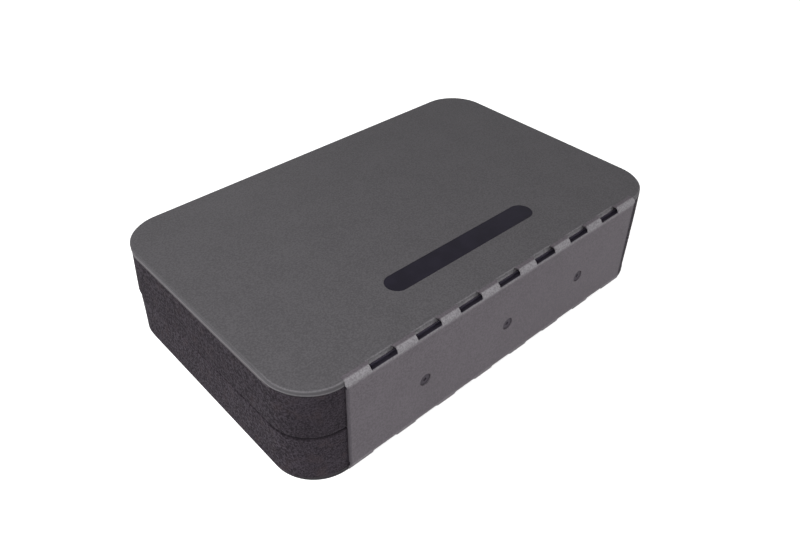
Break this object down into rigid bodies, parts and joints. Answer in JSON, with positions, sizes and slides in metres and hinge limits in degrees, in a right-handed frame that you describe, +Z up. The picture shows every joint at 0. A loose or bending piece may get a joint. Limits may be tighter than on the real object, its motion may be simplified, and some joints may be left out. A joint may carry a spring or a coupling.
{
  "type": "fly box",
  "caption": "Flat book-style fly box: two hinged plastic covers with a spine, foam frames, slit-foam bars and a hinged centre page.",
  "frame": {"origin": "centre of the closed box's footprint, on the face it lies on", "axes": "+X along the spine, +Y from the spine to the opening edge, +Z up through the top cover"},
  "size_m": [0.208, 0.1334, 0.0478],
  "materials": {
    "case_sheet": "fine matte texture, stress-whitened at the folds",
    "label": "smooth satin",
    "case_foam": "cut closed-cell foam, fine grain",
    "page_board": "fine matte",
    "slit_foam": "cut closed-cell foam",
    "rivet": "dark satin",
    "magnet": "nickel plated"
  },
  "bodies": {
    "lower_half": {"bottom_cover": "case_sheet", "lower_foam_frame": "case_foam", "lower_board": "page_board", "lower_magnets": "magnet", "lower_bar_1": "slit_foam", "lower_bar_2": "slit_foam", "lower_bar_3": "slit_foam", "lower_bar_4": "slit_foam", "lower_bar_5": "slit_foam"},
    "spine": {"spine_panel": "case_sheet", "lower_hinge_webs": "case_sheet", "upper_hinge_webs": "case_sheet", "page_flange": "page_board", "rivet_studs": "rivet", "rivet_caps": "rivet"},
    "upper_half": {"top_cover": "case_sheet", "label_plate": "label", "upper_foam_frame": "case_foam", "upper_board": "page_board", "upper_magnets": "magnet", "upper_bar_1": "slit_foam", "upper_bar_2": "slit_foam", "upper_bar_3": "slit_foam", "upper_bar_4": "slit_foam", "upper_bar_5": "slit_foam"},
    "centre_page": {"page_board": "page_board", "page_top_bar_1": "slit_foam", "page_top_bar_2": "slit_foam", "page_top_bar_3": "slit_foam", "page_top_bar_4": "slit_foam", "page_under_bar_1": "slit_foam", "page_under_bar_2": "slit_foam", "page_under_bar_3": "slit_foam", "page_under_bar_4": "slit_foam"}
  },
  "joints": [
    {"name": "spine_fold", "type": "hinge", "parent": "lower_half", "child": "spine", "pos_m": [0, -0.06545, 0.0013], "axis": [1, 0, 0], "range_deg": [0, 90], "deforming": ["lower_hinge_webs"]},
    {"name": "lid_fold", "type": "hinge", "parent": "spine", "child": "upper_half", "pos_m": [0, -0.06545, 0.0465], "axis": [1, 0, 0], "range_deg": [0, 90], "deforming": ["upper_hinge_webs"]},
    {"name": "page_fold", "type": "hinge", "parent": "spine", "child": "centre_page", "pos_m": [0, -0.06215, 0.0239], "axis": [1, 0, 0], "range_deg": [0, 45]}
  ],
  "couplings": [
    {"joint": "page_fold", "follows": "lid_fold", "ratio": 0.5}
  ]
}
